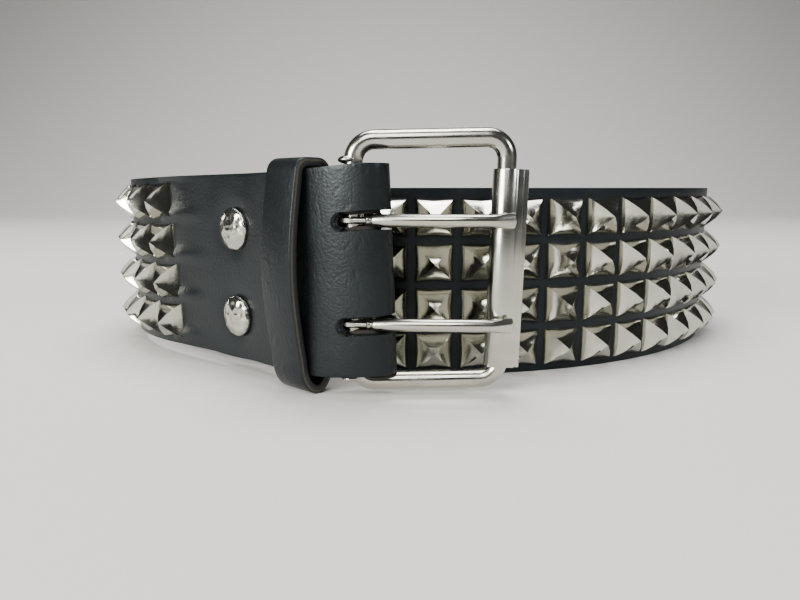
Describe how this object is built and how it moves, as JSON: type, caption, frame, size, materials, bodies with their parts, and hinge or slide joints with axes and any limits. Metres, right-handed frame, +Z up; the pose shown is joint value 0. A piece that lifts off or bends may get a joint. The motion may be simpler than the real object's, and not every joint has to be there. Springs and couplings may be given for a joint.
{
  "type": "studded belt",
  "caption": "Black leather belt standing on edge as an open loop, with rows of pyramid studs, a two-prong roller buckle, a keeper and snaps, the buckle undone.",
  "frame": {"origin": "middle of the part's box in plan, on the table the belt stands on", "axes": "+Z up across the strap's width, the buckle's window faces -Y, the studded tail leaves the buckle towards +X"},
  "size_m": [0.2492, 0.2638, 0.0738],
  "materials": {
    "leather": "smooth black, finely creased",
    "nickel": "bright nickel plate"
  },
  "bodies": {
    "strap": {"strap": "leather", "keeper": "leather", "snap_upper": "nickel", "snap_lower": "nickel"},
    "buckle": {"buckle_frame": "nickel"},
    "roller": {"roller": "nickel"},
    "prong_upper": {"prong_upper": "nickel"},
    "prong_lower": {"prong_lower": "nickel"}
  },
  "joints": [
    {"name": "frame_swing", "type": "hinge", "parent": "strap", "child": "buckle", "pos_m": [-0.02338, -0.12445, 0.0353], "axis": [0, 0, -1], "range_deg": [-8, 10]},
    {"name": "prong_upper_swing", "type": "hinge", "parent": "buckle", "child": "prong_upper", "pos_m": [-0.02338, -0.12445, 0.0494], "axis": [0, 0, -1], "range_deg": [0, 50]},
    {"name": "prong_lower_swing", "type": "hinge", "parent": "buckle", "child": "prong_lower", "pos_m": [-0.02338, -0.12445, 0.0212], "axis": [0, 0, -1], "range_deg": [0, 50]},
    {"name": "roller_turn", "type": "hinge", "parent": "buckle", "child": "roller", "pos_m": [0.01718, -0.12445, 0.0359], "axis": [0.0273, 0, 0.9996], "range_deg": [0, 180]}
  ]
}
